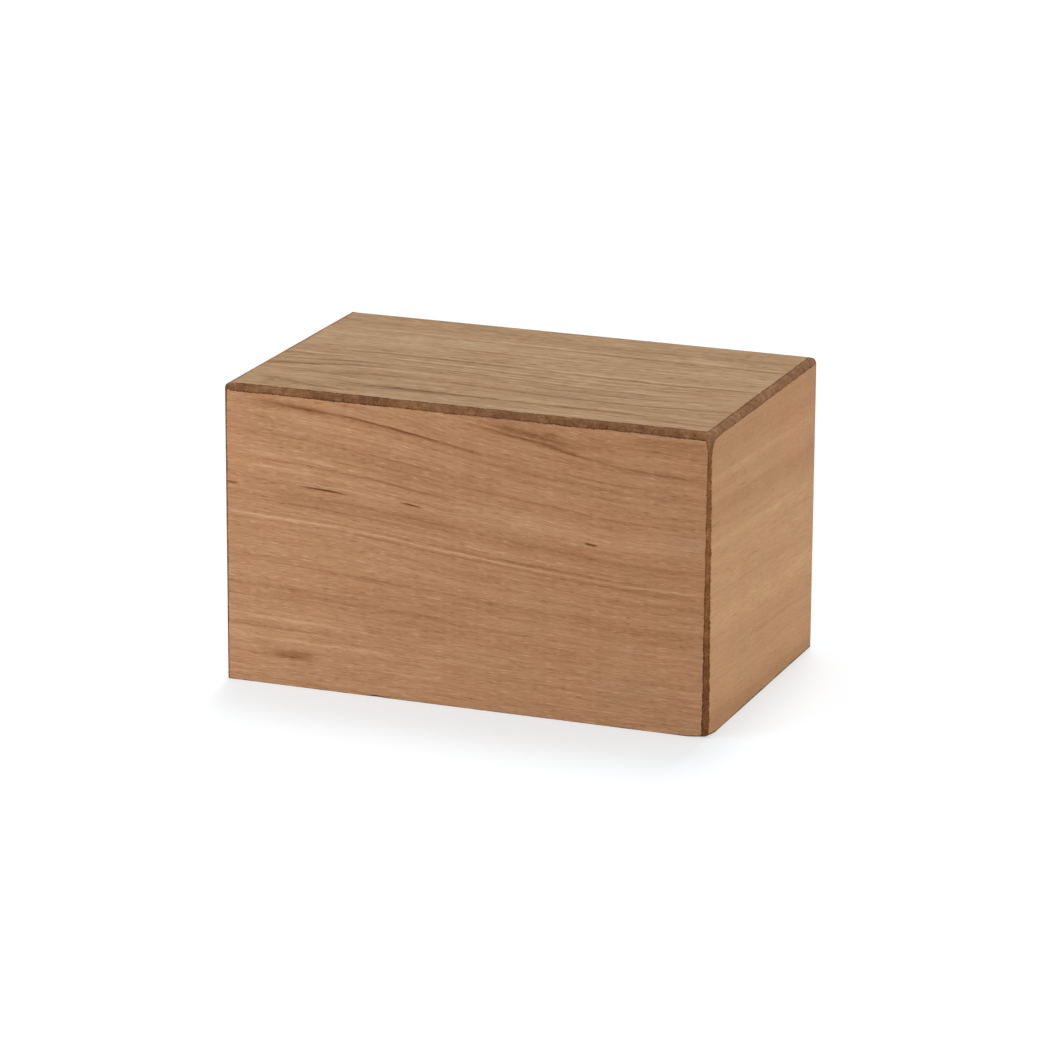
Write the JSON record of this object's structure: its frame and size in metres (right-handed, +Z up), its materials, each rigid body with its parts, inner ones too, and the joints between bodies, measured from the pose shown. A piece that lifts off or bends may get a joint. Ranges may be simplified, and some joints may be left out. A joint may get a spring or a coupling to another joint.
{
  "type": "cremation urn box",
  "caption": "Plain rectangular wooden urn box for cremation ashes, mitred from veneered boards with rounded dark arrises, opened from below by a screwed base board.",
  "frame": {"origin": "on the surface that the box stands on, under the middle of the box", "axes": "+X along the long front, +Y from the front to the back, +Z up; the front faces -Y"},
  "size_m": [0.24, 0.151, 0.144],
  "materials": {
    "veneered_board": "satin oiled veneer, dark stained board core showing on the rounded arrises",
    "base_board": "matt brown stained board",
    "screw_steel": "satin zinc plate"
  },
  "bodies": {
    "root": {"top_board": "veneered_board", "front_wall": "veneered_board", "back_wall": "veneered_board", "left_wall": "veneered_board", "right_wall": "veneered_board", "base_board": "base_board", "front_left_screw": "screw_steel", "front_right_screw": "screw_steel", "back_left_screw": "screw_steel", "back_right_screw": "screw_steel"}
  },
  "joints": []
}
